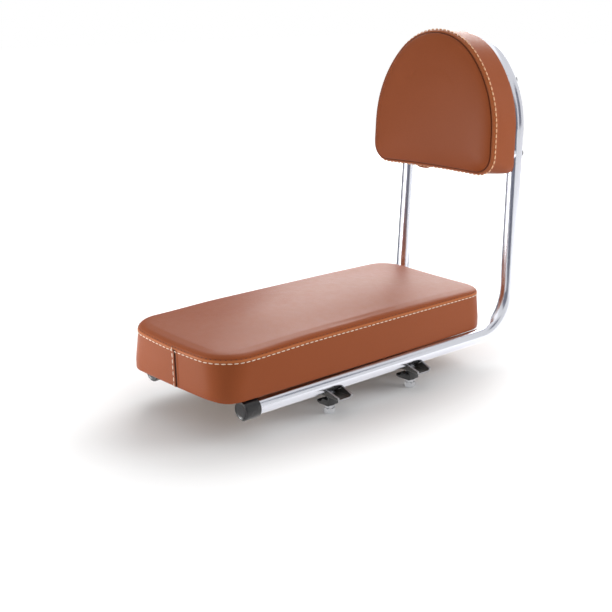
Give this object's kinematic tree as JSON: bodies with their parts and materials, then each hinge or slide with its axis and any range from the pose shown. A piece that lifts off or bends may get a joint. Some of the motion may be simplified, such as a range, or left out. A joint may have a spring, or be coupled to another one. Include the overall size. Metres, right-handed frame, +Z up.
{
  "type": "rear rack cushion seat",
  "caption": "Padded passenger seat for a bicycle rack, with a long boxed leather cushion and an arched back pad on one bent tube, over cross channels with rack clamps.",
  "frame": {"origin": "middle of the clamp pattern, on the underside of the cross channels where they meet a rack", "axes": "+X across the seat to the rider's left, +Y to the rear where the backrest stands, +Z up"},
  "size_m": [0.194, 0.4262, 0.3603],
  "materials": {
    "tan_leather": "smooth semi-gloss",
    "foam": "open foam",
    "board": "plain plywood",
    "satin_tube": "satin",
    "black_cap": "satin black",
    "black_channel": "olive black with bare cut edges",
    "black_jaw": "satin black",
    "zinc_steel": "bright zinc"
  },
  "bodies": {
    "root": {"backrest_board": "board", "backrest_cover": "tan_leather", "backrest_foam": "foam", "backrest_saddles": "black_cap", "backrest_screws": "zinc_steel", "backrest_tee_nuts": "zinc_steel", "clamp_bolts": "zinc_steel", "clamp_jaw_front_left": "black_jaw", "clamp_jaw_front_right": "black_jaw", "clamp_jaw_rear_left": "black_jaw", "clamp_jaw_rear_right": "black_jaw", "clamp_spring_washers": "zinc_steel", "clamp_washers": "zinc_steel", "end_cap_left": "black_cap", "end_cap_right": "black_cap", "frame_tube": "satin_tube", "front_cross_channel": "black_channel", "rail_rivet_nuts": "zinc_steel", "rail_spacers": "zinc_steel", "rear_cross_channel": "black_channel", "seat_base_board": "board", "seat_bolts": "zinc_steel", "seat_cover": "tan_leather", "seat_foam": "foam", "seat_sleeves": "zinc_steel", "seat_tee_nuts": "zinc_steel"}
  },
  "joints": []
}
